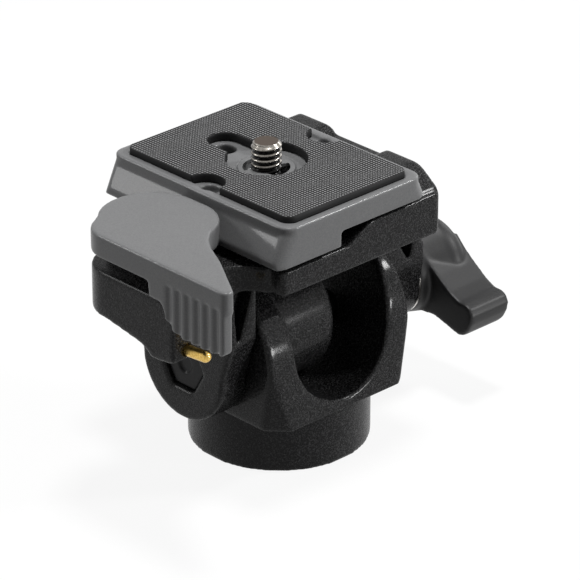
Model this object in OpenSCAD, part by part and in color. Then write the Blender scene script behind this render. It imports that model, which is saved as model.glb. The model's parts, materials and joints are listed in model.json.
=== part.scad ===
// Tilt head for a monopod, with a quick-release plate held by a swinging lever.
// Origin: centre of the base collar's underside. +Z is up, +X runs along the tilt
// axis towards the tilt lock lever, and -Y is the front.

/* [Base] */
// Radius of the round collar
collar_r = 19.2; // [18:0.1:19.4]
// Height of the collar
collar_h = 12.4; // [11:0.1:13]
// Wall radius of the 3/8 inch thread in the base
base_thread_r = 3.97; // [3.8:0.01:4.2]
// Outside radius of the threaded insert
insert_r = 7; // [6:0.1:8]

/* [Yoke] */
// Height of the tilt axis above the collar
axis_rise = 12.1; // [12:0.1:13]
// Half width across the arms' outer faces
yoke_half_w = 19.8; // [19.4:0.1:20.2]
// Half depth of the skirt, front to back
yoke_half_d = 20; // [19.5:0.1:20.4]
// Radius of the arms' round tops about the tilt axis
arm_r = 18.6; // [17:0.1:19]
// Half width of the slot between the arms
slot_half_w = 13; // [12.5:0.1:13.4]
// Thickness of the yoke's floor
floor_t = 2.3; // [2:0.1:3]
// Radius of the drum on the left arm
drum_r = 14; // [13:0.1:14.2]
// Chamfer of the yoke's upright edges, at the bottom
edge_chamfer = 4; // [3:0.1:5]

/* [Tilt pivot] */
// Shank radius of the pivot bolt
bolt_r = 3; // [2.5:0.1:3.2]
// Width across flats of the bolt's head
bolt_flats = 10; // [9:0.5:11]
// Wall thickness of the plastic bushes
bush_t = 2; // [1.5:0.1:2.5]
// Thickness of the friction discs
disc_t = 0.6; // [0.5:0.1:0.8]

/* [Platform] */
// Gap between the arms' tops and the deck
deck_gap = 3.1; // [2:0.1:4]
// Thickness of the deck on its low side
deck_t = 5.6; // [5:0.1:6.5]
// Rise of the deck's high side
deck_step = 3.5; // [3:0.1:4]
// Left end of the deck, from the tilt head's middle
deck_left = 21.6; // [21:0.1:22]
// Right end of the deck
deck_right = 23.4; // [22.8:0.1:25]
// Half depth of the deck, front to back
deck_half_d = 23.7; // [23:0.1:23.8]
// Radius of the left ear about the tilt axis
ear_left_r = 12; // [11:0.1:12.2]
// Radius of the right ear about the tilt axis
ear_right_r = 8.6; // [8.4:0.1:9.6]
// Half width of the ears where they meet the deck
ear_half_w = 15; // [14:0.1:16]
// Thickness of the left ear
ear_left_t = 7.1; // [6.5:0.1:8]
// Thickness of the right ear
ear_right_t = 12.6; // [12:0.1:13]
// Height of the jaw lugs above the deck's high side
lug_rise = 5; // [4.4:0.1:5.2]

/* [Quick-release plate] */
// Half length of the plate
plate_half_l = 26.25; // [25.5:0.05:27]
// Half width of the plate's top
plate_half_w = 19.25; // [19:0.05:19.5]
// Height of the plate above the deck's low side
plate_t = 10.6; // [10:0.1:11.5]
// Outward flare of the dovetail sides
plate_flare = 2.3; // [2:0.1:2.5]
// Offset of the plate's middle towards the release lever
plate_offset = 3.56; // [3.4:0.02:3.7]
// How far the mat stands above the rim
mat_proud = 1.2; // [0.8:0.1:1.6]
// Radius of the camera screw, 1/4 inch thread
screw_r = 3.175; // [3.1:0.005:3.2]
// Height of the camera screw's end above the rim
screw_reach = 5; // [4.5:0.1:6.5]

/* [Release lever] */
// Radius of the lever's round head
head_r = 11; // [10:0.1:11.5]
// Depth of the lever's top below the plate's rim
lever_drop = 1.4; // [1:0.1:2]
// Thickness of the lever's rim
lever_t = 5; // [4.5:0.1:5.4]
// Reach of the lever outward from its pivot
lever_reach = 14.2; // [14:0.1:15.5]
// Reach of the lever's tip to the front
lever_tip = 36.3; // [34:0.1:38]
// Height of the ribbed thumb skirt below the lever's top
skirt_drop = 14.5; // [13:0.1:15]
// Number of thumb ribs
rib_count = 6; // [5:1:7]

/* [Lever housing] */
// Outward reach of the housing from the lever's pivot
housing_reach = 12.6; // [12:0.1:12.8]
// Depth of the housing
housing_t = 10; // [9:0.1:11]
// Radius of the safety pin
pin_r = 1.2; // [1.1:0.05:1.3]

/* [Tilt lock lever] */
// Radius of the lock lever's hub
hub_r = 10.7; // [10:0.1:11.2]
// Length of the hub along the tilt axis
hub_l = 13.5; // [12.5:0.1:14.5]
// Width of the blade along the tilt axis
blade_w = 11.4; // [10:0.1:12]

/* [Hidden] */
$fn = 64;
eps = 0.01;
run_gap = 0.3;
shaft_gap = 0.05;
over = 1;

// Yoke
axis_h = collar_h + axis_rise;
arm_h = axis_h + arm_r;
slot_floor_h = collar_h + floor_t;
slot_mid_h = slot_floor_h + slot_half_w;
slot_mid = 0.5;                     // the slot lies a little towards the lock lever
slot_left = slot_half_w - slot_mid;
slot_right = slot_half_w + slot_mid;
slot_flare = 0.27*slot_half_w;
drum_end = 3.2;
drum_round = 2;
drum_h = slot_floor_h + drum_r;
crown_in = 0.08*yoke_half_w;
shoulder_h = axis_h + 0.62*arm_r;
chamfer_lean = 6.8;                 // degrees by which the chamfer fades out upwards
insert_h = collar_h - 0.4;

// Tilt pivot
ear_in = yoke_half_w + disc_t;
ear_left = ear_in + ear_left_t;
ear_right = ear_in + ear_right_t;
bush_r = bolt_r + bush_t;
bush_lip = 2.2;
bush_in = slot_right + bush_lip;
disc_r = 0.69*ear_left_r;
bore_r = bolt_r + shaft_gap;
bolt_head_t = 4;
head_sink = 1;                      // the bolt's head lies this far below the ear's face
head_slack = run_gap;
head_seat = ear_left - head_sink - bolt_head_t;
washer_t = 0.6;
hub_in = ear_right + washer_t;
hub_out = hub_in + hub_l;
bolt_end = hub_in + 0.62*hub_l;
nut_r = 0.52*hub_r;
nut_end = bolt_end + run_gap;
dimple_r = 2;
dimple_t = 0.5;

// Platform
deck_under_h = arm_h + deck_gap;
deck_low_h = deck_under_h + deck_t;
deck_high_h = deck_low_h + deck_step;
lug_h = deck_high_h + lug_rise;
plate_mid = -plate_offset;
ramp_low = -3.3;
ramp_high = 3;
corner_r = 3;
deck_corner_r = 1.4;
jaw_gap = 0.35;
jaw_end = deck_half_d - 1;
jaw_end_h = deck_high_h + 0.16*lug_rise;
jaw_h = deck_high_h + 0.62*lug_rise;
lug_mid = 0.53*deck_half_d;         // middle of each lug
lug_top = 0.156*deck_half_d;        // half width at its top
lug_foot = 0.24*deck_half_d;
lug_ease = 0.6;
pocket_depth = 4;
pocket_foot_h = axis_h + 0.7*ear_left_r;
pocket_rim = 0.9;
pocket_top_h = deck_under_h - over/2;
ear_right_half_w = 0.65*ear_half_w;

// Plate
plate_h = deck_low_h + plate_t;
rim_t = 2;
foot_lip = 1.6;
plate_foot_h = deck_low_h + 2;
plate_step_h = deck_high_h + 1.9;
plate_step = -4;                    // step in the skirt, from the plate's middle
flare_h = plate_h - rim_t - plate_foot_h - foot_lip;
step_flare = plate_flare*(plate_h - rim_t - plate_step_h)/flare_h;
foot_half_l = 0.8*plate_half_l;
foot_in = 9;
foot_w = 5.5;
mat_seat = 0.8;
mat_half_w = plate_half_w - 2.3;
mat_half_l = plate_half_l - 2;
mat_corner_r = 2.4;
mat_h = plate_h + mat_proud;
mat_floor_h = plate_h - mat_seat;
web_drop = 4.3;
web_h = plate_h - web_drop;         // underside of the plate above the screw's head
screw_head_r = 6.5;
screw_head_t = 2;
screw_low_h = web_h - shaft_gap - screw_head_t;
head_room = 1.2;
screw_chamfer = 0.6;
neck_r = screw_r - run_gap;
screw_h = plate_h + screw_reach;
coin_slot_w = 1.6;
hollow_r = 8.4;
slot_end = 12.4;
slot_end_r = 3.6;
notch_r = 4;
retainer_r = 5.9;
retainer_w = 1;                     // width of the ring
finger_gap = 0.2;
finger_angle = 70;
well_r = retainer_r - retainer_w;
well_t = 1.6;
retainer_t = 0.7;
small_hole_r = 2.4;
notch_hole_r = 2;
notch_hole_x = mat_half_w - 1.4;
notch_hole_t = 2;
flare_angle = atan2(plate_flare, flare_h);

// Release lever
hub_low_r = 0.85*head_r;
pivot_x = plate_offset + plate_half_w + plate_flare + jaw_gap + hub_low_r;
lever_h = plate_h - lever_drop;
lever_under_h = lever_h - lever_t;
skirt_h = lever_h - skirt_drop;
lever_out = pivot_x + lever_reach;
undercut_h = 0.7*lever_t;
back_r = 0.62*head_r;               // rounding of the lever's back corner
back_x = -lever_out + back_r;
post_r = 3;
post_top = lever_h - 1.6;
skirt_t = lever_reach - housing_reach - 0.4;
skirt_start = 0.385*lever_tip;
skirt_mid = 0.5*lever_tip;
skirt_low = 0.66*lever_tip;
tip_block = 0.72*lever_tip;         // the skirt is thicker in front of this place
tip_t = 2.6;
tip_w = 2.4;
tip_round = 0.8;
rib_r = 0.8;
rib_out = 0.2;
rib_pitch = 2.7;
rib_start = lever_tip - 2.6;
release_flat = 0.64*head_r;
open_angle = 75;

// Housing
housing_h = deck_low_h + 0.2;
housing_under_h = housing_h - housing_t;
lever_hub_h = housing_h + 0.4;
housing_out = pivot_x + housing_reach;
housing_front = 20;
housing_back = 9.3;
housing_r = 8;
block_in = ear_left + 1;
block_front = 17;
bay_x = 31;
bay_r = 9;
bay_out = 3;
bay_y = housing_front + bay_out;
pin_nut_r = post_r + 0.5;
pin_nut_h = housing_under_h - 2.4;
clip_t = 0.5;
chamber_r = 7.5;
chamber_h = 0.55*housing_t;
tab_t = 3.8;
tab_back = 10.8;
tab_slope = 1.8;
tab_in = housing_out - 7.4;
pin_inset = 4;
pin_x = housing_out - pin_inset;
pin_h = housing_under_h - 1.1;
pin_lean = 8;
pin_face = 19.6;
pin_out = 5.6;
pin_in = 3.6;
pin_travel = 2.5;
spring_l = 1.8;

// Lock lever
hub_neck_r = 0.78*hub_r;
hub_round = 3.6;
blade_out = hub_out + 0.3;
blade_in = blade_out - blade_w;

module tube_x(from, to, r) {
    translate([from, 0, axis_h]) rotate([0, 90, 0]) cylinder(r = r, h = to - from);
}

module ring_x(from, to, outer, inner) {
    difference() {
        tube_x(from, to, outer);
        tube_x(from - over, to + over, inner);
    }
}

module ring(outer, inner, h) {
    difference() {
        cylinder(r = outer, h = h);
        translate([0, 0, -over]) cylinder(r = inner, h = h + 2*over);
    }
}

module along_x(from, to) {
    translate([from, 0, 0]) rotate([90, 0, 90]) linear_extrude(to - from) children();
}

module along_y(from, to) {
    translate([0, to, 0]) rotate([90, 0, 0]) linear_extrude(to - from) children();
}

module rounded_rect(half_w, half_l, r) {
    square([2*(half_w - r), 2*half_l], center = true);
    square([2*half_w, 2*(half_l - r)], center = true);
    for (x = [-1, 1], y = [-1, 1])
        translate([x*(half_w - r), y*(half_l - r)]) circle(r);
}

// The yoke seen from the front, without its slot.
module yoke_front() {
    polygon([[-yoke_half_w, collar_h], [yoke_half_w, collar_h], [yoke_half_w, shoulder_h],
        [yoke_half_w - crown_in, arm_h + over], [crown_in - yoke_half_w, arm_h + over],
        [-yoke_half_w, shoulder_h]]);
}

module yoke_side() {
    polygon([[-yoke_half_d, collar_h], [yoke_half_d, collar_h], [arm_r, axis_h], [-arm_r, axis_h]]);
    translate([0, axis_h]) circle(arm_r);
}

module yoke_slot() {
    translate([slot_mid, slot_mid_h]) circle(slot_half_w);
    polygon([[-slot_left, slot_mid_h], [slot_right, slot_mid_h],
        [slot_right + slot_flare, arm_h + over], [-slot_left, arm_h + over]]);
}

module yoke_edges() {
    for (x = [-1, 1], y = [-1, 1])
        translate([x*yoke_half_w, y*yoke_half_d, collar_h]) rotate([0, 0, atan2(y, x)])
            rotate([0, chamfer_lean, 0]) translate([-edge_chamfer/sqrt(2), -arm_r, -arm_r])
                cube([arm_r, 2*arm_r, 4*arm_r]);
}

module drum() {
    length = drum_end + slot_left + over;
    translate([-slot_left - over, 0, drum_h]) rotate([0, 90, 0]) rotate_extrude() {
        square([drum_r - drum_round, length]);
        square([drum_r, length - drum_round]);
        translate([drum_r - drum_round, length - drum_round]) circle(drum_round);
    }
}

module yoke() {
    color("#2a2a2c") difference() {
        union() {
            difference() {
                intersection() {
                    along_y(-yoke_half_d, yoke_half_d) yoke_front();
                    along_x(-yoke_half_w, yoke_half_w) yoke_side();
                }
                along_y(-yoke_half_d - over, yoke_half_d + over) yoke_slot();
                yoke_edges();
            }
            drum();
        }
        tube_x(-yoke_half_w - over, drum_end + over, bush_r);
        tube_x(bush_in, yoke_half_w + over, bush_r);
        tube_x(-yoke_half_w, yoke_half_w, bolt_r + run_gap);
    }
}

module base_collar() {
    color("#29292b") ring(collar_r, insert_r, collar_h);
}

module thread_insert() {
    color("silver") ring(insert_r - shaft_gap, base_thread_r, insert_h);
}

module bush_left() {
    color("ivory") ring_x(-yoke_half_w, drum_end, bush_r - shaft_gap, bore_r);
}

module bush_right() {
    color("ivory") ring_x(bush_in, yoke_half_w, bush_r - shaft_gap, bore_r);
}

module friction_disc_left() {
    color("dimgray") ring_x(-ear_in, -yoke_half_w, disc_r, bore_r);
}

module friction_disc_right() {
    color("dimgray") ring_x(yoke_half_w, ear_in, disc_r, bore_r);
}

module thrust_washer() {
    color("silver") ring_x(ear_right, hub_in, hub_neck_r, bore_r);
}

// An ear seen along the tilt axis: a round end that widens towards the deck.
module ear_side(r, half_w) {
    translate([0, axis_h]) circle(r);
    polygon([[-r, axis_h], [r, axis_h], [half_w, axis_h + 0.8*r], [half_w, deck_under_h + over],
        [-half_w, deck_under_h + over], [-half_w, axis_h + 0.8*r]]);
}

// Hollows in the front and the back of the ears.
module left_pocket() {
    polygon([[-ear_left + pocket_rim, pocket_top_h], [-ear_in - pocket_rim, pocket_top_h],
        [-ear_left + 2.2*pocket_rim, pocket_foot_h]]);
}

module right_pocket() {
    polygon([[ear_in + pocket_rim, pocket_top_h], [deck_right - pocket_rim, pocket_top_h],
        [ear_right - 4*pocket_rim, axis_h + 1.4*ear_right_r], [ear_right - 5*pocket_rim, pocket_foot_h]]);
}

module right_ear_front() {
    polygon([[ear_in, axis_h - ear_right_r], [ear_right, axis_h - ear_right_r],
        [ear_right, axis_h + 1.35*ear_right_r], [deck_right, deck_under_h + over/2],
        [deck_right, deck_under_h + over], [ear_in, deck_under_h + over]]);
}

module ears() {
    difference() {
        along_x(-ear_left, -ear_in) ear_side(ear_left_r, ear_half_w);
        for (s = [-1, 1]) translate([0, s*ear_half_w, 0]) along_y(-pocket_depth, pocket_depth) left_pocket();
    }
    difference() {
        intersection() {
            along_x(ear_in, ear_right) ear_side(ear_right_r, ear_right_half_w);
            along_y(-ear_half_w, ear_half_w) right_ear_front();
        }
        for (s = [-1, 1]) translate([0, s*ear_right_half_w, 0])
            along_y(-pocket_depth, pocket_depth) right_pocket();
    }
}

module deck() {
    intersection() {
        along_y(-deck_half_d, deck_half_d)
            polygon([[-deck_left, deck_under_h], [deck_right, deck_under_h], [deck_right, deck_high_h],
                [ramp_high, deck_high_h], [ramp_low, deck_low_h], [-deck_left, deck_low_h]]);
        translate([(deck_right - deck_left)/2, 0, deck_under_h]) linear_extrude(deck_high_h - deck_under_h)
            rounded_rect((deck_right + deck_left)/2, deck_half_d, deck_corner_r);
    }
}

// The fixed jaw: a strip with two lugs that reach over the plate's dovetail.
module jaw() {
    foot = plate_mid + plate_half_w + step_flare + jaw_gap;
    lip = foot - plate_flare*(lug_h - plate_step_h)/flare_h;
    intersection() {
        along_x(lip - over, deck_right)
            polygon([[-jaw_end, deck_high_h - over], [jaw_end, deck_high_h - over], [jaw_end, jaw_end_h],
                [lug_mid + lug_foot, lug_h - over], [lug_mid + lug_top + lug_ease, lug_h],
                [lug_mid - lug_top, lug_h],
                [lug_mid - lug_foot, jaw_h], [lug_foot - lug_mid, jaw_h], [lug_top - lug_mid, lug_h],
                [-lug_mid - lug_top - lug_ease, lug_h], [-lug_mid - lug_foot, lug_h - over],
                [-jaw_end, jaw_end_h]]);
        along_y(-deck_half_d, deck_half_d)
            polygon([[foot, deck_high_h - over], [deck_right, deck_high_h - over],
                [deck_right, lug_h - over],
                [deck_right - over, lug_h], [lip, lug_h], [foot, plate_step_h]]);
    }
}

// The lever housing seen from above: right is its inner end, front its reach to the front.
module housing_plan(right, front) {
    translate([-housing_out, -front]) square([housing_out - right, front + housing_back - housing_r]);
    translate([-housing_out + housing_r, housing_back - housing_r]) circle(housing_r);
    translate([-housing_out + housing_r, -front])
        square([housing_out - housing_r - right, front + housing_back]);
}

module pin_place(from) {
    translate([-pin_x, -pin_face, pin_h]) rotate([0, 0, pin_lean]) rotate([-90, 0, 0])
        translate([0, 0, from]) children();
}

module housing() {
    // the wide slab at the deck's level, with a bay beside the deck's front corner
    translate([0, 0, deck_under_h]) linear_extrude(housing_h - deck_under_h) difference() {
        housing_plan(deck_left - over, housing_front);
        translate([-bay_x, -bay_y]) circle(bay_r);
    }
    translate([0, 0, housing_under_h]) linear_extrude(housing_t) difference() {
        housing_plan(block_in - 2*over, block_front);
        translate([-bay_x, -bay_y]) circle(bay_r);
    }
    // the tab that carries the safety pin, under a floor that slopes down to it
    along_x(-housing_out, -tab_in)
        polygon([[housing_back - housing_r, housing_under_h + over],
            [housing_back - housing_r, housing_under_h],
            [1 - tab_back, housing_under_h - tab_slope], [-tab_back - 0.9, housing_under_h - tab_t + 1],
            [-tab_back - 2, housing_under_h - tab_t], [-pin_face + 2, housing_under_h - tab_t + 0.3],
            [-pin_face, housing_under_h - tab_t + 1], [-pin_face, deck_under_h + over],
            [-tab_back, deck_under_h + over]]);
}

module platform() {
    color("#242426") difference() {
        union() {
            deck();
            ears();
            jaw();
            housing();
        }
        tube_x(-ear_left - over, ear_right + over, bore_r);
        translate([-ear_left - head_sink, 0, axis_h]) rotate([0, 90, 0])
            rotate([0, 0, 30])
                cylinder(d = (bolt_flats + 2*head_slack)/cos(30), h = bolt_head_t + 2*head_sink, $fn = 6);
        translate([-pivot_x, 0, housing_under_h - over]) cylinder(r = post_r + shaft_gap, h = housing_t);
        translate([-pivot_x, 0, housing_h - chamber_h]) cylinder(r = chamber_r, h = chamber_h + over);
        pin_place(-over) cylinder(r = pin_r + shaft_gap, h = pin_in + pin_travel + spring_l + over);
        // room for the camera screw's head
        translate([plate_mid, 0, screw_low_h - 2*run_gap])
            cylinder(r = screw_head_r + head_room, h = plate_t);
    }
}

module pivot_bolt() {
    color("#1c1c1e") {
        difference() {
            translate([-ear_left + head_sink, 0, axis_h]) rotate([0, 90, 0])
                rotate([0, 0, 30]) cylinder(d = bolt_flats/cos(30), h = bolt_head_t, $fn = 6);
            tube_x(-ear_left, -ear_left + head_sink + dimple_t, dimple_r);
        }
        tube_x(-head_seat - eps, bolt_end, bolt_r);
    }
}

module plate_front() {
    polygon([[-plate_half_w, plate_h], [plate_half_w, plate_h], [plate_half_w, plate_h - rim_t],
        [plate_half_w + step_flare, plate_step_h], [plate_step, plate_step_h], [plate_step, plate_foot_h],
        [-plate_half_w - plate_flare, plate_foot_h], [-plate_half_w - plate_flare, plate_foot_h + foot_lip],
        [-plate_half_w, plate_h - rim_t]]);
}

// What is cut from the plate's four corners: they lean outward with the dovetail sides.
module plate_corners() {
    for (x = [-1, 1], y = [-1, 1])
        translate([x*(plate_half_w - corner_r), y*(plate_half_l - corner_r), plate_h - rim_t]) {
            corner_cut(x, y, rim_t + over);
            rotate([0, -x*flare_angle, 0]) translate([0, 0, -plate_t]) corner_cut(x, y, plate_t);
        }
}

module corner_cut(x, y, h) {
    linear_extrude(h) difference() {
        polygon([[0, 0], [2*x*corner_r, 0], [2*x*corner_r, 2*y*corner_r], [0, 2*y*corner_r]]);
        circle(corner_r);
    }
}

module quick_plate() {
    color("#8c8c8c") translate([plate_mid, 0, 0]) difference() {
        union() {
            difference() {
                along_y(-plate_half_l, plate_half_l) plate_front();
                plate_corners();
            }
            // feet that stand on the deck's two levels
            translate([-foot_in - foot_w, -foot_half_l, deck_low_h])
                cube([foot_w, 2*foot_half_l, plate_foot_h - deck_low_h + over]);
            translate([foot_in, -foot_half_l, deck_high_h])
                cube([foot_w, 2*foot_half_l, plate_step_h - deck_high_h + over]);
        }
        translate([0, 0, mat_floor_h]) linear_extrude(plate_t)
            rounded_rect(mat_half_w + shaft_gap, mat_half_l + shaft_gap, mat_corner_r);
        translate([0, 0, deck_low_h]) cylinder(r = screw_head_r + head_room, h = web_h - deck_low_h);
        translate([0, 0, web_h - over]) cylinder(r = screw_r + shaft_gap, h = plate_t);
        translate([0, 0, mat_floor_h - retainer_t]) cylinder(r = retainer_r + shaft_gap, h = plate_t);
        translate([0, 0, mat_floor_h - retainer_t - well_t]) cylinder(r = well_r, h = plate_t);
        translate([0, slot_end, deck_low_h - over]) cylinder(r = small_hole_r, h = 2*plate_t);
        for (s = [-1, 1]) translate([s*notch_hole_x, 0, mat_floor_h - notch_hole_t])
            cylinder(r = notch_hole_r, h = plate_t);
    }
}

module plate_mat() {
    color("#3c3c3e") translate([plate_mid, 0, mat_floor_h]) linear_extrude(mat_proud + mat_seat)
        difference() {
            rounded_rect(mat_half_w, mat_half_l, mat_corner_r);
            circle(hollow_r);
            translate([0, slot_end]) circle(slot_end_r);
            translate([-slot_end_r, 0]) square([2*slot_end_r, slot_end]);
            for (s = [-1, 1]) translate([s*mat_half_w, 0]) circle(notch_r);
        }
}

// A flat ring with two fingers that reach in beside the screw.
module screw_retainer() {
    finger_r = screw_r + finger_gap;
    finger_w = well_r - finger_r;
    color("#8c8c8c") translate([plate_mid, 0, mat_floor_h - retainer_t]) {
        ring(retainer_r, well_r, retainer_t);
        for (turn = [0, 180]) rotate([0, 0, turn - 20]) linear_extrude(retainer_t) {
            intersection() {
                difference() {
                    circle(well_r + retainer_w/2);
                    circle(finger_r);
                }
                polygon([[0, 0], [2*well_r, 0], [2*well_r*cos(finger_angle), 2*well_r*sin(finger_angle)]]);
            }
            rotate([0, 0, finger_angle]) translate([finger_r + 0.7*finger_w, 0]) circle(0.6*finger_w);
        }
    }
}

module camera_screw() {
    color("gainsboro") translate([plate_mid, 0, 0]) {
        translate([0, 0, screw_low_h]) difference() {
            cylinder(r = screw_head_r, h = screw_head_t);
            translate([-screw_head_r - over, -coin_slot_w/2, -over])
                cube([2*screw_head_r + 2*over, coin_slot_w, over + screw_head_t/2]);
        }
        translate([0, 0, web_h - shaft_gap]) cylinder(r = neck_r, h = mat_h - web_h + shaft_gap);
        translate([0, 0, mat_h]) cylinder(r = screw_r, h = screw_h - screw_chamfer - mat_h);
        translate([0, 0, screw_h - screw_chamfer])
            cylinder(r1 = screw_r, r2 = screw_r - screw_chamfer, h = screw_chamfer);
    }
}

// The lever seen from above: a round head, a cut-off back corner and a narrowing thumb arm.
module lever_plan() {
    translate([-pivot_x, 0]) circle(head_r);
    translate([-pivot_x + 0.08*head_r, -0.33*head_r]) circle(0.93*head_r);
    translate([back_x, 0]) circle(back_r);
    polygon([[-lever_out, 0], [-lever_out, tip_round - lever_tip], [tip_round - lever_out, -lever_tip],
        [tip_w - lever_out, -lever_tip], [-pivot_x - 0.42*head_r, -0.686*lever_tip],
        [-pivot_x - 0.13*head_r, -1.7*head_r], [-pivot_x + 0.07*head_r, -1.43*head_r],
        [-pivot_x + 0.3*head_r, -1.23*head_r], [-pivot_x, 0], [-pivot_x - 0.26*head_r, 0.966*head_r],
        [back_x - 0.6*back_r, 0.8*back_r]]);
}

// The thumb skirt seen from outside, y across and z up.
module skirt_side() {
    drop = lever_under_h - skirt_h;
    polygon([[-skirt_start, lever_under_h + over], [-skirt_start - 0.2, lever_under_h - 0.34*drop],
        [-skirt_mid + 0.6, lever_under_h - 0.36*drop], [-skirt_mid - 0.4, lever_under_h - 0.5*drop],
        [-skirt_mid - 0.7, lever_under_h - 0.7*drop], [-0.57*lever_tip, lever_under_h - 0.89*drop],
        [-skirt_low + 0.6, skirt_h + 0.2], [-0.7*lever_tip, skirt_h], [1.2 - lever_tip, skirt_h + 0.4],
        [0.4 - lever_tip, skirt_h + 1.4], [0.4 - lever_tip, lever_under_h + over]]);
}

module release_lever() {
    color("#8a8a8a") difference() {
        union() {
            translate([0, 0, lever_under_h]) linear_extrude(lever_t) lever_plan();
            along_x(-lever_out, -lever_out + skirt_t) skirt_side();
            intersection() {
                along_x(-lever_out, -lever_out + tip_t) skirt_side();
                translate([-lever_out, -lever_tip, skirt_h])
                    cube([tip_t, lever_tip - tip_block, skirt_drop]);
            }
            translate([-pivot_x, 0, lever_hub_h])
                cylinder(r = hub_low_r, h = lever_under_h - lever_hub_h + eps);
        }
        // the head is undercut to reach over the plate's dovetail
        translate([-pivot_x, 0, lever_under_h]) difference() {
            translate([0, 0, -eps]) ring(1.5*head_r, hub_low_r - eps, undercut_h + eps);
            cylinder(r1 = hub_low_r, r2 = head_r, h = undercut_h);
            translate([-2*head_r, -4*head_r, -over]) cube([1.5*head_r, 8*head_r, 2*lever_t]);
            translate([-2*head_r, -4*head_r, -over]) cube([2.27*head_r, 4*head_r, 2*lever_t]);
            translate([-2*head_r, -4.9*head_r, -over]) cube([4*head_r, 4*head_r, 2*lever_t]);
        }
        // flat that frees the plate once the lever is open
        translate([-pivot_x, 0, lever_hub_h - over]) rotate([0, 0, open_angle])
            translate([release_flat, -head_r, 0])
                cube([head_r, 2*head_r, lever_under_h - lever_hub_h + over - eps]);
        for (i = [0:rib_count - 1])
            translate([-lever_out - rib_out, -rib_start + i*rib_pitch, skirt_h - over])
                cylinder(r = rib_r, h = lever_under_h - skirt_h + 2*over, $fn = 24);
        translate([-pivot_x, 0, lever_hub_h - over])
            cylinder(r = post_r + shaft_gap, h = post_top - lever_hub_h + over);
    }
}

module lever_pin() {
    color("silver") translate([-pivot_x, 0, pin_nut_h + over])
        cylinder(r = post_r, h = post_top - pin_nut_h - over);
}

module lever_washer() {
    color("silver") translate([-pivot_x, 0, housing_under_h - clip_t - shaft_gap])
        ring(pin_nut_r + over, post_r + shaft_gap, clip_t);
}

module pin_nut() {
    color("#1c1c1e") translate([-pivot_x, 0, pin_nut_h]) difference() {
        cylinder(r = pin_nut_r, h = housing_under_h - clip_t - shaft_gap - pin_nut_h);
        translate([0, 0, over]) cylinder(r = post_r + shaft_gap, h = housing_under_h);
    }
}

module lever_spring() {
    color("silver") translate([-pivot_x, 0, housing_h - chamber_h])
        ring(chamber_r - 2*run_gap, post_r + over, chamber_h - 0.4);
}

module safety_pin() {
    color("goldenrod") {
        pin_place(pin_r - pin_out) cylinder(r = pin_r, h = pin_out + pin_in - pin_r);
        pin_place(pin_r - pin_out) sphere(r = pin_r);
    }
}

module safety_spring() {
    color("silver") pin_place(pin_in + pin_travel + shaft_gap)
        cylinder(r = pin_r - run_gap, h = spring_l - shaft_gap);
}

// The lock lever's blade, seen along the tilt axis, in units of the hub's radius.
module blade_side() {
    scale(hub_r) difference() {
        polygon([[-0.5, 0.7], [-0.72, 0.47], [-1.0, 0.25], [-1.35, 0], [-1.58, -0.11], [-1.76, -0.11],
            [-1.9, -0.18], [-1.97, -0.32], [-1.94, -0.5], [-1.84, -0.7], [-1.72, -0.82], [-1.58, -0.84],
            [-1.4, -0.79], [-1.21, -0.73], [-0.92, -0.65], [-0.51, -0.68], [-0.22, -0.8]]);
        circle(nut_r/hub_r);
    }
}

module lock_lever() {
    color("#1e1e20") difference() {
        union() {
            translate([hub_in, 0, axis_h]) rotate([0, 90, 0]) rotate_extrude() {
                polygon([[0, 0], [hub_neck_r, 0], [hub_r, hub_l - hub_round], [hub_r - hub_round, hub_l],
                    [0, hub_l]]);
                translate([hub_r - hub_round, hub_l - hub_round]) circle(hub_round);
            }
            along_x(blade_in, blade_out) translate([0, axis_h]) blade_side();
        }
        tube_x(hub_in - over, nut_end, nut_r);
    }
}

module lock_nut() {
    color("goldenrod") ring_x(hub_in, nut_end, nut_r - shaft_gap, bore_r);
}

yoke();
base_collar();
thread_insert();
bush_left();
bush_right();
platform();
pivot_bolt();
friction_disc_left();
friction_disc_right();
thrust_washer();
quick_plate();
plate_mat();
screw_retainer();
camera_screw();
release_lever();
lever_pin();
lever_washer();
pin_nut();
lever_spring();
safety_pin();
safety_spring();
lock_lever();
lock_nut();
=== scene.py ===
import json
import math

import bmesh
import bpy
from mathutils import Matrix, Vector


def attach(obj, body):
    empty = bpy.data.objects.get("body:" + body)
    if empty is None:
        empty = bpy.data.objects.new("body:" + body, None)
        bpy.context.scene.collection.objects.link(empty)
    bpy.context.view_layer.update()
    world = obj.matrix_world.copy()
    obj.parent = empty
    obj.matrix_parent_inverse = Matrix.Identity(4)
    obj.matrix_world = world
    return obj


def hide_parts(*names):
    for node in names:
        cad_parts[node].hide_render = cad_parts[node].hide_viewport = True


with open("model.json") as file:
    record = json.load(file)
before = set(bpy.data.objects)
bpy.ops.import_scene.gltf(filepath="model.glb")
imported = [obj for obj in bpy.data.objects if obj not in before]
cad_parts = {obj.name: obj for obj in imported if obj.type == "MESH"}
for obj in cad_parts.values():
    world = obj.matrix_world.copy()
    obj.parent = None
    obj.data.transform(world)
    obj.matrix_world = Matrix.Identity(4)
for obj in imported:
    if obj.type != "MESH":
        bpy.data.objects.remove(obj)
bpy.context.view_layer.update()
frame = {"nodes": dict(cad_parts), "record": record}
scene = bpy.context.scene
mm = 0.001
print("stage: frame loaded")


# Shared shader effects

def newGroup(name, inputs, outputs):
    group = bpy.data.node_groups.new(name, "ShaderNodeTree")
    for label, kind, default in inputs:
        socket = group.interface.new_socket(name=label, in_out="INPUT", socket_type=kind)
        if default is not None:
            socket.default_value = default
    for label, kind in outputs:
        group.interface.new_socket(name=label, in_out="OUTPUT", socket_type=kind)
    entry = group.nodes.new("NodeGroupInput")
    leave = group.nodes.new("NodeGroupOutput")
    return group, entry, leave


# Each helper below takes a node tree, adds one node to it and returns the node's result

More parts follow.
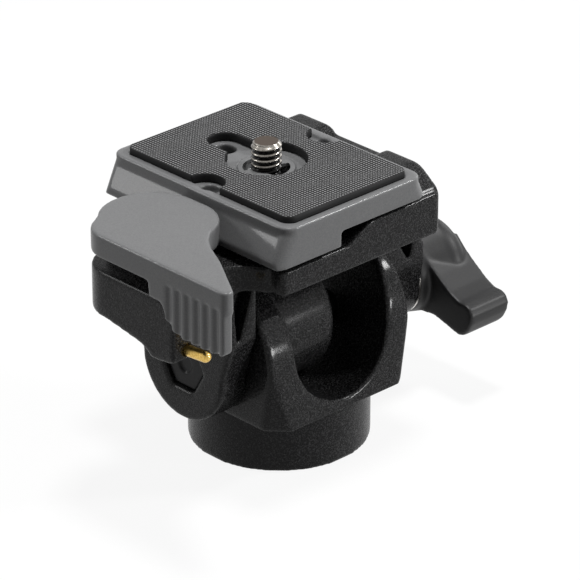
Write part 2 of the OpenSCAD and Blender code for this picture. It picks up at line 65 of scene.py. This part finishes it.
def mathNode(tree, operation, first, second):
    node = tree.nodes.new("ShaderNodeMath")
    node.operation = operation
    for index, value in enumerate((first, second)):
        if isinstance(value, (int, float)):
            node.inputs[index].default_value = value
        else:
            tree.links.new(value, node.inputs[index])
    return node.outputs[0]


def mapRange(tree, value, span, result=(0.0, 1.0)):
    node = tree.nodes.new("ShaderNodeMapRange")
    for label, number in zip(("From Min", "From Max", "To Min", "To Max"), (*span, *result)):
        node.inputs[label].default_value = number
    tree.links.new(value, node.inputs["Value"])
    return node.outputs["Result"]


def mixColour(tree, factor, first, second):
    node = tree.nodes.new("ShaderNodeMix")
    node.data_type = "RGBA"
    tree.links.new(factor, node.inputs["Factor"])
    for label, value in (("A", first), ("B", second)):
        if isinstance(value, tuple):
            node.inputs[label].default_value = (*value, 1.0)
        else:
            tree.links.new(value, node.inputs[label])
    return node.outputs["Result"]


speckleSettings = {"scale": 2200.0, "detail": 3.0, "roughness": 0.6, "cloudScale": 90.0, "cloudDetail": 2.0}


def speckleGroup(settings):
    group, entry, leave = newGroup("speckle",
        [("Vector", "NodeSocketVector", None), ("Scale", "NodeSocketFloat", settings["scale"])],
        [("Height", "NodeSocketFloat"), ("Cloud", "NodeSocketFloat")])
    fine = group.nodes.new("ShaderNodeTexNoise")
    fine.inputs["Detail"].default_value = settings["detail"]
    fine.inputs["Roughness"].default_value = settings["roughness"]
    group.links.new(entry.outputs["Vector"], fine.inputs["Vector"])
    group.links.new(entry.outputs["Scale"], fine.inputs["Scale"])
    broad = group.nodes.new("ShaderNodeTexNoise")
    broad.inputs["Scale"].default_value = settings["cloudScale"]
    broad.inputs["Detail"].default_value = settings["cloudDetail"]
    group.links.new(entry.outputs["Vector"], broad.inputs["Vector"])
    group.links.new(fine.outputs["Fac"], leave.inputs["Height"])
    group.links.new(broad.outputs["Fac"], leave.inputs["Cloud"])
    return group


ribSettings = {"pitch": 0.6*mm, "height": 0.25, "steep": 1.8, "shift": -0.5}  # a higher shift widens the ribs


def ribGroup(settings):
    group, entry, leave = newGroup("matRibs",
        [("Vector", "NodeSocketVector", None), ("Pitch", "NodeSocketFloat", settings["pitch"])],
        [("Height", "NodeSocketFloat"), ("Cover", "NodeSocketFloat")])
    parts = group.nodes.new("ShaderNodeSeparateXYZ")
    group.links.new(entry.outputs["Vector"], parts.inputs[0])
    waves = []
    for axis in ("X", "Y"):
        turns = mathNode(group, "DIVIDE", parts.outputs[axis], entry.outputs["Pitch"])
        angle = mathNode(group, "MULTIPLY", turns, 2.0*math.pi)
        waves.append(mathNode(group, "SINE", angle, 0.0))
    total = mathNode(group, "ADD", waves[0], waves[1])
    steep = mathNode(group, "MULTIPLY", total, settings["steep"])
    group.links.new(mathNode(group, "MULTIPLY", total, settings["height"]), leave.inputs["Height"])
    group.links.new(mathNode(group, "ADD", steep, settings["shift"]), leave.inputs["Cover"])
    return group


speckle = speckleGroup(speckleSettings)
matRibs = ribGroup(ribSettings)
screwX = -3.56*mm

# A finish runs from its dark to its light colour over the speckle, and is rougher where the cloud is denser
plainFinish = {"metal": 0.0, "span": (0.35, 0.68), "cloudSpan": (0.3, 0.7), "specular": 0.5, "coat": 0.0,
    "coatRough": 0.3}
materialSettings = {
    # castBlack's light flecks are partly the coat's own grain and partly painted glints, bright under any lamp
    "castBlack": {"dark": (0.004, 0.004, 0.0042), "light": (0.075, 0.075, 0.076), "span": (0.47, 0.8),
        "rough": (0.2, 0.28), "scale": 2900.0, "bump": 1.0, "depth": 0.13*mm, "specular": 0.05,
        "coat": 0.16, "coatRough": 0.12},
    "plasticBlack": {"dark": (0.006, 0.006, 0.0063), "light": (0.011, 0.011, 0.0115), "rough": (0.4, 0.5),
        "scale": 3200.0, "bump": 0.12, "depth": 0.06*mm, "specular": 0.3},
    "greyPaint": {"dark": (0.126, 0.127, 0.129), "light": (0.156, 0.157, 0.159), "rough": (0.4, 0.5),
        "scale": 3600.0, "bump": 0.1, "depth": 0.05*mm, "specular": 0.06, "coat": 0.4, "coatRough": 0.13},
    "nickel": {"dark": (0.42, 0.4, 0.38), "light": (0.62, 0.6, 0.57), "rough": (0.2, 0.32),
        "metal": 1.0, "scale": 2600.0, "bump": 0.06, "depth": 0.04*mm},
    # screwSteel's near-black colour is painted shade, laid into the thread grooves and around the neck
    "screwSteel": {"dark": (0.24, 0.225, 0.2), "light": (0.42, 0.395, 0.36), "rough": (0.14, 0.22),
        "metal": 1.0, "scale": 2600.0, "bump": 0.06, "depth": 0.04*mm, "cap": (0.1, 0.07, 0.05),
        "paintedShade": (0.012, 0.012, 0.012), "faceUp": (0.85, 0.98), "neck": (61.8*mm, 63.6*mm),
        "grooveRadii": (2.88*mm, 3.12*mm), "tip": (66.3*mm, 66.7*mm)},
    "brass": {"dark": (0.52, 0.33, 0.08), "light": (0.78, 0.55, 0.18), "rough": (0.2, 0.32),
        "metal": 1.0, "scale": 2600.0, "bump": 0.06, "depth": 0.04*mm},
    "blackSteel": {"dark": (0.004, 0.004, 0.0042), "light": (0.012, 0.012, 0.0125), "rough": (0.3, 0.42),
        "scale": 3000.0, "bump": 0.15, "depth": 0.05*mm, "specular": 0.12},
    "bushPlastic": {"dark": (0.02, 0.02, 0.021), "light": (0.035, 0.035, 0.036), "rough": (0.45, 0.55),
        "scale": 3000.0, "bump": 0.1, "depth": 0.05*mm},
    "discFibre": {"dark": (0.05, 0.05, 0.05), "light": (0.1, 0.1, 0.1), "rough": (0.7, 0.85),
        "scale": 2200.0, "bump": 0.4, "depth": 0.1*mm},
    # matRubber's near-black gap colour is painted shade between the ribs
    "matRubber": {"dark": (0.15, 0.15, 0.152), "light": (0.23, 0.23, 0.233), "rough": (0.6, 0.72),
        "scale": 2600.0, "bump": 0.2, "depth": 0.06*mm, "specular": 0.2, "paintedGapShade": (0.005, 0.005, 0.0053),
        "faceUp": (0.86, 0.97), "ribPitch": 0.72*mm, "ribBump": 0.8, "ribDepth": 0.22*mm},
}


def faceUpMask(tree, place, span):
    facing = tree.nodes.new("ShaderNodeSeparateXYZ")
    tree.links.new(place.outputs["Normal"], facing.inputs[0])
    return mapRange(tree, facing.outputs["Z"], span)


# The screw has a brown end, and painted shade darkens its thread grooves and its neck, leaving the crests and
# the tip bright
def screwColour(tree, place, steel, settings):
    tinted = mixColour(tree, faceUpMask(tree, place, settings["faceUp"]), steel, settings["cap"])
    spot = tree.nodes.new("ShaderNodeSeparateXYZ")
    tree.links.new(place.outputs["Object"], spot.inputs[0])
    across = mathNode(tree, "SUBTRACT", spot.outputs["X"], screwX)
    squareRadius = mathNode(tree, "ADD", mathNode(tree, "MULTIPLY", across, across),
        mathNode(tree, "MULTIPLY", spot.outputs["Y"], spot.outputs["Y"]))
    # painted shade: dark in the thread grooves and towards the bottom below the neck height, not on the crests
    # or the tip
    crest = mapRange(tree, squareRadius, [radius**2 for radius in settings["grooveRadii"]])
    bright = mathNode(tree, "MAXIMUM", crest, mapRange(tree, spot.outputs["Z"], settings["tip"]))
    unshaded = mathNode(tree, "MINIMUM", bright, mapRange(tree, spot.outputs["Z"], settings["neck"]))
    return mixColour(tree, unshaded, settings["paintedShade"], tinted)


# The mat's top has raised ribs with painted shade in the gaps between them, and its sides are plain
def matWeave(tree, place, rubber, grainBump, settings):
    ribs = tree.nodes.new("ShaderNodeGroup")
    ribs.node_tree = matRibs
    ribs.inputs["Pitch"].default_value = settings["ribPitch"]
    tree.links.new(place.outputs["Object"], ribs.inputs["Vector"])
    top = faceUpMask(tree, place, settings["faceUp"])
    cover = mathNode(tree, "MULTIPLY", top, ribs.outputs["Cover"])
    bump = tree.nodes.new("ShaderNodeBump")
    bump.inputs["Strength"].default_value = settings["ribBump"]
    bump.inputs["Distance"].default_value = settings["ribDepth"]
    tree.links.new(mathNode(tree, "MULTIPLY", top, ribs.outputs["Height"]), bump.inputs["Height"])
    tree.links.new(grainBump, bump.inputs["Normal"])
    return mixColour(tree, cover, settings["paintedGapShade"], rubber), bump.outputs["Normal"]


def makeMaterial(name, settings):
    settings = {**plainFinish, **settings}
    material = bpy.data.materials.new(name)
    material.use_nodes = True
    tree = material.node_tree
    shader = tree.nodes["Principled BSDF"]
    place = tree.nodes.new("ShaderNodeTexCoord")
    grain = tree.nodes.new("ShaderNodeGroup")
    grain.node_tree = speckle
    grain.inputs["Scale"].default_value = settings["scale"]
    tree.links.new(place.outputs["Object"], grain.inputs["Vector"])
    ramp = tree.nodes.new("ShaderNodeValToRGB")
    for stop, position, tone in zip(ramp.color_ramp.elements, settings["span"], ("dark", "light")):
        stop.position = position
        stop.color = (*settings[tone], 1.0)
    tree.links.new(grain.outputs["Height"], ramp.inputs["Fac"])
    gloss = mapRange(tree, grain.outputs["Cloud"], settings["cloudSpan"], settings["rough"])
    tree.links.new(gloss, shader.inputs["Roughness"])
    shader.inputs["Metallic"].default_value = settings["metal"]
    shader.inputs["Specular IOR Level"].default_value = settings["specular"]
    shader.inputs["Coat Weight"].default_value = settings["coat"]
    shader.inputs["Coat Roughness"].default_value = settings["coatRough"]
    bump = tree.nodes.new("ShaderNodeBump")
    bump.inputs["Strength"].default_value = settings["bump"]
    bump.inputs["Distance"].default_value = settings["depth"]
    tree.links.new(grain.outputs["Height"], bump.inputs["Height"])
    colour, normal = ramp.outputs["Color"], bump.outputs["Normal"]
    if "cap" in settings:
        colour = screwColour(tree, place, colour, settings)
    if "ribPitch" in settings:
        colour, normal = matWeave(tree, place, colour, normal, settings)
    tree.links.new(colour, shader.inputs["Base Color"])
    tree.links.new(normal, shader.inputs["Normal"])
    return material


materials = {name: makeMaterial(name, settings) for name, settings in materialSettings.items()}
nodeMaterials = {
    "yoke": "castBlack", "base_collar": "castBlack", "platform": "castBlack", "thread_insert": "nickel",
    "bush_left": "bushPlastic", "bush_right": "bushPlastic", "pivot_bolt": "blackSteel",
    "friction_disc_left": "discFibre", "friction_disc_right": "discFibre", "thrust_washer": "nickel",
    "quick_plate": "greyPaint", "plate_mat": "matRubber", "screw_retainer": "greyPaint",
    "camera_screw": "screwSteel", "release_lever": "greyPaint", "lever_pin": "nickel", "lever_washer": "nickel",
    "pin_nut": "blackSteel", "lever_spring": "nickel", "safety_pin": "brass", "safety_spring": "nickel",
    "lock_lever": "plasticBlack", "lock_nut": "brass"}
nodeSharpAngle = math.radians(32)


def shadeSmooth(mesh):
    for face in mesh.polygons:
        face.use_smooth = True


for name, node in frame["nodes"].items():
    node.data.materials.clear()
    node.data.materials.append(materials[nodeMaterials[name]])
    shadeSmooth(node.data)
    node.data.set_sharp_from_angle(angle=nodeSharpAngle)
print("stage: materials made")

bodies = frame["record"]["behaviour"]["bodies"]
bodyOf = {node: body for body, members in bodies.items() for node in members}


def addPiece(name, mesh, materialName, body, replaced):
    piece = bpy.data.objects.new(name, mesh)
    scene.collection.objects.link(piece)
    mesh.materials.clear()
    mesh.materials.append(materials[materialName])
    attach(piece, body)
    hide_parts(*replaced)


mergeGap = 0.001*mm  # the loose triangles of a CAD mesh share corners closer than this
smoothFactor = 0.5


def mergedCopy(nodeName):
    source = bmesh.new()
    source.from_mesh(frame["nodes"][nodeName].data)
    bmesh.ops.remove_doubles(source, verts=source.verts[:], dist=mergeGap)
    bmesh.ops.recalc_face_normals(source, faces=source.faces[:])
    mesh = bpy.data.meshes.new(nodeName + "Copy")
    source.to_mesh(mesh)
    source.free()
    return mesh


# Edges and inner corners are rounded by a fine remesh and a few smoothing passes
def roundedMesh(nodeName, settings):
    shape = bpy.data.objects.new(nodeName + "Shape", mergedCopy(nodeName))
    scene.collection.objects.link(shape)
    grid = shape.modifiers.new("grid", "REMESH")
    grid.mode = "VOXEL"
    grid.voxel_size = settings["voxel"]
    soften = shape.modifiers.new("soften", "SMOOTH")
    soften.factor = smoothFactor
    soften.iterations = settings["passes"]
    thin = shape.modifiers.new("thin", "DECIMATE")
    thin.decimate_type = "COLLAPSE"
    thin.ratio = settings["keep"]
    finished = shape.evaluated_get(bpy.context.evaluated_depsgraph_get())
    result = bpy.data.meshes.new_from_object(finished)
    old = shape.data
    bpy.data.objects.remove(shape)
    bpy.data.meshes.remove(old)
    shadeSmooth(result)
    return result


roundedSettings = {
    "yoke": {"voxel": 0.40*mm, "passes": 18, "keep": 0.5},
    "platform": {"voxel": 0.40*mm, "passes": 12, "keep": 0.45},
    "base_collar": {"voxel": 0.40*mm, "passes": 8, "keep": 0.4},
    "quick_plate": {"voxel": 0.34*mm, "passes": 7, "keep": 0.45},
    "release_lever": {"voxel": 0.30*mm, "passes": 16, "keep": 0.5},
    "lock_lever": {"voxel": 0.30*mm, "passes": 22, "keep": 0.5},
    "plate_mat": {"voxel": 0.30*mm, "passes": 2, "keep": 0.5},
    "pivot_bolt": {"voxel": 0.24*mm, "passes": 3, "keep": 0.5},
}
for name, settings in roundedSettings.items():
    mesh = roundedMesh(name, settings)
    addPiece(name + "Body", mesh, nodeMaterials[name], bodyOf[name], [name])
    print("stage: rounded", name, len(mesh.polygons), "faces")


# Camera screw with a real thread

screwSettings = {"x": screwX, "radius": 3.175*mm, "core": 2.62*mm, "neck": 2.6*mm, "headRadius": 6.5*mm,
    "headLow": 56.05*mm, "headTop": 58.05*mm, "start": 60.0*mm, "end": 67.4*mm, "pitch": 1.27*mm,
    "around": 48, "steps": 16, "rootShare": 0.12, "flankShare": 0.7, "tipChamfer": 0.7*mm,
    "sharpAngle": math.radians(40)}


# Radius of the thread at one height and angle: a flat root, straight flanks, a flat crest and a chamfered tip
def threadRadius(settings, z, angle):
    turn = (z - settings["start"])/settings["pitch"] - angle/(2*math.pi)
    ridge = 1.0 - abs(2.0*(turn % 1.0) - 1.0)
    ridge = min(1.0, max(0.0, (ridge - settings["rootShare"])/settings["flankShare"]))
    intoTip = max(0.0, z - settings["end"] + settings["tipChamfer"])
    threadDepth = settings["radius"] - settings["core"]
    return min(settings["core"] + threadDepth*ridge, settings["radius"] - intoTip)


# The head's underside is a disc, and its edge is drawn up row by row
def screwMesh(settings):
    height = settings["end"] - settings["start"]
    count = int(height/settings["pitch"]*settings["steps"])
    rows = [(settings["headTop"], settings["headRadius"]), (settings["headTop"], settings["neck"])]
    rows += [(settings["start"] + height*row/count, None) for row in range(count + 1)]
    shape = bmesh.new()
    bmesh.ops.create_circle(shape, cap_ends=True, radius=settings["headRadius"],
        segments=settings["around"])
    bmesh.ops.translate(shape, verts=shape.verts[:], vec=(settings["x"], 0.0, settings["headLow"]))
    edge = shape.edges[:]
    for z, plainRadius in rows:
        grown = bmesh.ops.extrude_edge_only(shape, edges=edge)["geom"]
        edge = [part for part in grown if isinstance(part, bmesh.types.BMEdge) and part.is_boundary]
        for corner in [part for part in grown if isinstance(part, bmesh.types.BMVert)]:
            angle = math.atan2(corner.co.y, corner.co.x - settings["x"])
            radius = plainRadius or threadRadius(settings, z, angle)
            corner.co = (settings["x"] + radius*math.cos(angle), radius*math.sin(angle), z)
    bmesh.ops.edgeloop_fill(shape, edges=edge)
    bmesh.ops.recalc_face_normals(shape, faces=shape.faces[:])
    mesh = bpy.data.meshes.new("cameraScrew")
    shape.to_mesh(mesh)
    shape.free()
    shadeSmooth(mesh)
    mesh.set_sharp_from_angle(angle=settings["sharpAngle"])
    return mesh


addPiece("cameraScrewThread", screwMesh(screwSettings), nodeMaterials["camera_screw"], bodyOf["camera_screw"],
    ["camera_screw"])
print("stage: camera screw made")


# Stage, light and camera

middle = (0.0, 0.0, 0.035)  # the lights and the camera look at this point
stageSettings = {"size": 6.0, "drop": 0.1*mm, "white": 1.0, "bounce": 0.16, "rough": 0.9, "paper": 0.8,
    "glowShare": 0.9}


# 1 for the rays that show the white background: straight, mirrored or through glass
def backgroundRays(tree):
    rays = tree.nodes.new("ShaderNodeLightPath")
    seen = mathNode(tree, "MAXIMUM", rays.outputs["Is Camera Ray"], rays.outputs["Is Glossy Ray"])
    return mathNode(tree, "MAXIMUM", seen, rays.outputs["Is Transmission Ray"])


def makeFloor(settings):
    shape = bmesh.new()
    bmesh.ops.create_grid(shape, x_segments=1, y_segments=1, size=settings["size"]/2)
    bmesh.ops.translate(shape, verts=shape.verts[:], vec=(0.0, 0.0, -settings["drop"]))
    mesh = bpy.data.meshes.new("floor")
    shape.to_mesh(mesh)
    shape.free()
    floor = bpy.data.objects.new("floor", mesh)
    scene.collection.objects.link(floor)
    material = bpy.data.materials.new("paleFloor")
    material.use_nodes = True
    tree = material.node_tree
    shader = tree.nodes["Principled BSDF"]
    shader.inputs["Base Color"].default_value = (*(settings["bounce"],)*3, 1.0)
    shader.inputs["Roughness"].default_value = settings["rough"]
    paper = tree.nodes.new("ShaderNodeBsdfDiffuse")
    paper.inputs["Color"].default_value = (*(settings["paper"],)*3, 1.0)
    glow = tree.nodes.new("ShaderNodeEmission")
    glow.inputs["Strength"].default_value = settings["white"]
    pale = tree.nodes.new("ShaderNodeMixShader")
    pale.inputs["Fac"].default_value = settings["glowShare"]
    tree.links.new(paper.outputs["BSDF"], pale.inputs[1])
    tree.links.new(glow.outputs["Emission"], pale.inputs[2])
    mix = tree.nodes.new("ShaderNodeMixShader")
    tree.links.new(backgroundRays(tree), mix.inputs["Fac"])
    tree.links.new(shader.outputs["BSDF"], mix.inputs[1])
    tree.links.new(pale.outputs["Shader"], mix.inputs[2])
    tree.links.new(mix.outputs["Shader"], tree.nodes["Material Output"].inputs["Surface"])
    mesh.materials.append(material)


worldSettings = {"soft": 0.1, "white": 1.0}


def makeWorld(settings):
    world = bpy.data.worlds.new("studio")
    scene.world = world
    world.use_nodes = True
    tree = world.node_tree
    soft = tree.nodes["Background"]
    soft.inputs["Color"].default_value = (1.0, 1.0, 1.0, 1.0)
    soft.inputs["Strength"].default_value = settings["soft"]
    white = tree.nodes.new("ShaderNodeBackground")
    white.inputs["Strength"].default_value = settings["white"]
    mix = tree.nodes.new("ShaderNodeMixShader")
    tree.links.new(backgroundRays(tree), mix.inputs["Fac"])
    tree.links.new(soft.outputs["Background"], mix.inputs[1])
    tree.links.new(white.outputs["Background"], mix.inputs[2])
    tree.links.new(mix.outputs["Shader"], tree.nodes["World Output"].inputs["Surface"])


lightSettings = {
    "topLight": {"at": (0.05, -0.05, 0.9), "size": 0.15, "power": 6.9},
    "frontLight": {"at": (0.6, -0.47, 0.62), "size": 0.15, "power": 4.8},
    "backLight": {"at": (-0.5, 0.63, 0.5), "size": 0.24, "power": 1.8},
    "lowLight": {"at": (0.5, -0.82, 0.1), "size": 0.16, "power": 3.8},
    "rimLight": {"at": (0.8, 0.15, 0.35), "size": 0.3, "power": 0.8},
    "sideLight": {"at": (-0.745, 0.67, 0.243), "size": 0.2, "power": 0.8},
}


def makeLights(settings):
    for name, light in settings.items():
        data = bpy.data.lights.new(name, "AREA")
        data.shape = "DISK"
        data.size = light["size"]
        data.energy = light["power"]
        lamp = bpy.data.objects.new(name, data)
        scene.collection.objects.link(lamp)
        lamp.location = light["at"]
        aim = Vector(middle) - lamp.location
        lamp.rotation_mode = "QUATERNION"
        lamp.rotation_quaternion = aim.to_track_quat("-Z", "Y")


cameraSettings = {"azimuth": -43.62, "elevation": 26.11, "distance": 0.8693, "sensor": 36.0,
    "focalPixels": 4200.0, "framePixels": 580.0, "leftPixels": 10.91, "upPixels": 11.38, "clip": (0.02, 20.0)}


def makeCamera(settings):
    data = bpy.data.cameras.new("camera")
    data.sensor_width = settings["sensor"]
    data.lens = settings["focalPixels"]/settings["framePixels"]*data.sensor_width
    data.shift_x = settings["leftPixels"]/settings["framePixels"]
    data.shift_y = -settings["upPixels"]/settings["framePixels"]
    data.clip_start, data.clip_end = settings["clip"]
    camera = bpy.data.objects.new("camera", data)
    scene.collection.objects.link(camera)
    azimuth, elevation = math.radians(settings["azimuth"]), math.radians(settings["elevation"])
    level = math.cos(elevation)
    back = Vector((math.sin(azimuth)*level, -math.cos(azimuth)*level, math.sin(elevation)))
    camera.location = Vector(middle) + back*settings["distance"]
    camera.rotation_mode = "QUATERNION"
    camera.rotation_quaternion = (-back).to_track_quat("-Z", "Y")
    scene.camera = camera


makeFloor(stageSettings)
makeWorld(worldSettings)
makeLights(lightSettings)
makeCamera(cameraSettings)
scene.view_settings.view_transform = "Standard"
print("stage: studio made")
